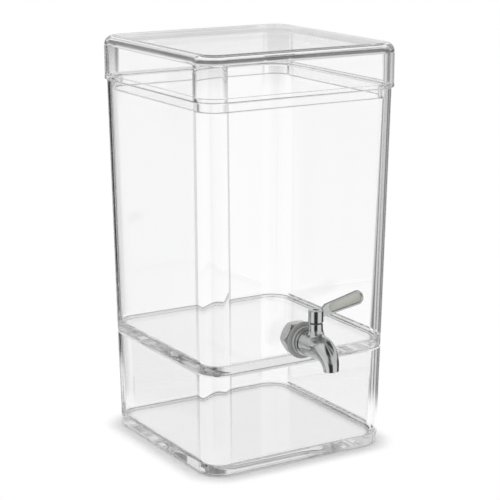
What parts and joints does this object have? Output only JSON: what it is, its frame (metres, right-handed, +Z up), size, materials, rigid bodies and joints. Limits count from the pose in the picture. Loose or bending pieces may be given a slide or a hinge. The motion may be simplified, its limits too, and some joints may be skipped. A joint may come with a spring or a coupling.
{
  "type": "juice dispenser",
  "caption": "Clear square countertop juice dispenser: lift-off lid, tank with a steel quarter-turn tap low on the front, standing on a matching clear base.",
  "frame": {"origin": "centre of the base's underside, on the table", "axes": "+Z up; the tap is on the -Y face and points to -Y; +X to the right of someone facing the tap, where the lever points when shut"},
  "size_m": [0.1906, 0.2342, 0.351],
  "materials": {
    "clear_acrylic": "polished, see-through",
    "silicone_grey": "matt",
    "nylon_grey": "satin",
    "polished_steel": "polished",
    "satin_steel": "satin",
    "ptfe_white": "matt",
    "rubber_black": "matt",
    "brass": "turned",
    "nylon_black": "matt"
  },
  "bodies": {
    "base": {"base": "clear_acrylic"},
    "tank": {"tank": "clear_acrylic", "outer_gasket": "silicone_grey", "dress_washer": "nylon_grey", "inner_gasket": "silicone_grey", "tap_nut": "satin_steel", "tap_body": "polished_steel", "valve_sleeve": "ptfe_white", "spindle_o_ring": "rubber_black", "gland_ring": "brass", "thrust_washer": "nylon_black"},
    "lid": {"lid": "clear_acrylic"},
    "lever": {"lever": "polished_steel", "valve_spindle": "satin_steel", "handle_screw": "satin_steel"}
  },
  "joints": [
    {"name": "tank_lift", "type": "slide", "parent": "base", "child": "tank", "axis": [0, 0, 1], "range_m": [0, 0.05]},
    {"name": "lid_lift", "type": "slide", "parent": "tank", "child": "lid", "axis": [0, 0, 1], "range_m": [0, 0.04]},
    {"name": "lever_turn", "type": "hinge", "parent": "tank", "child": "lever", "pos_m": [0, -0.10943, 0.1339], "axis": [0, 0, -1], "range_deg": [0, 90]}
  ]
}
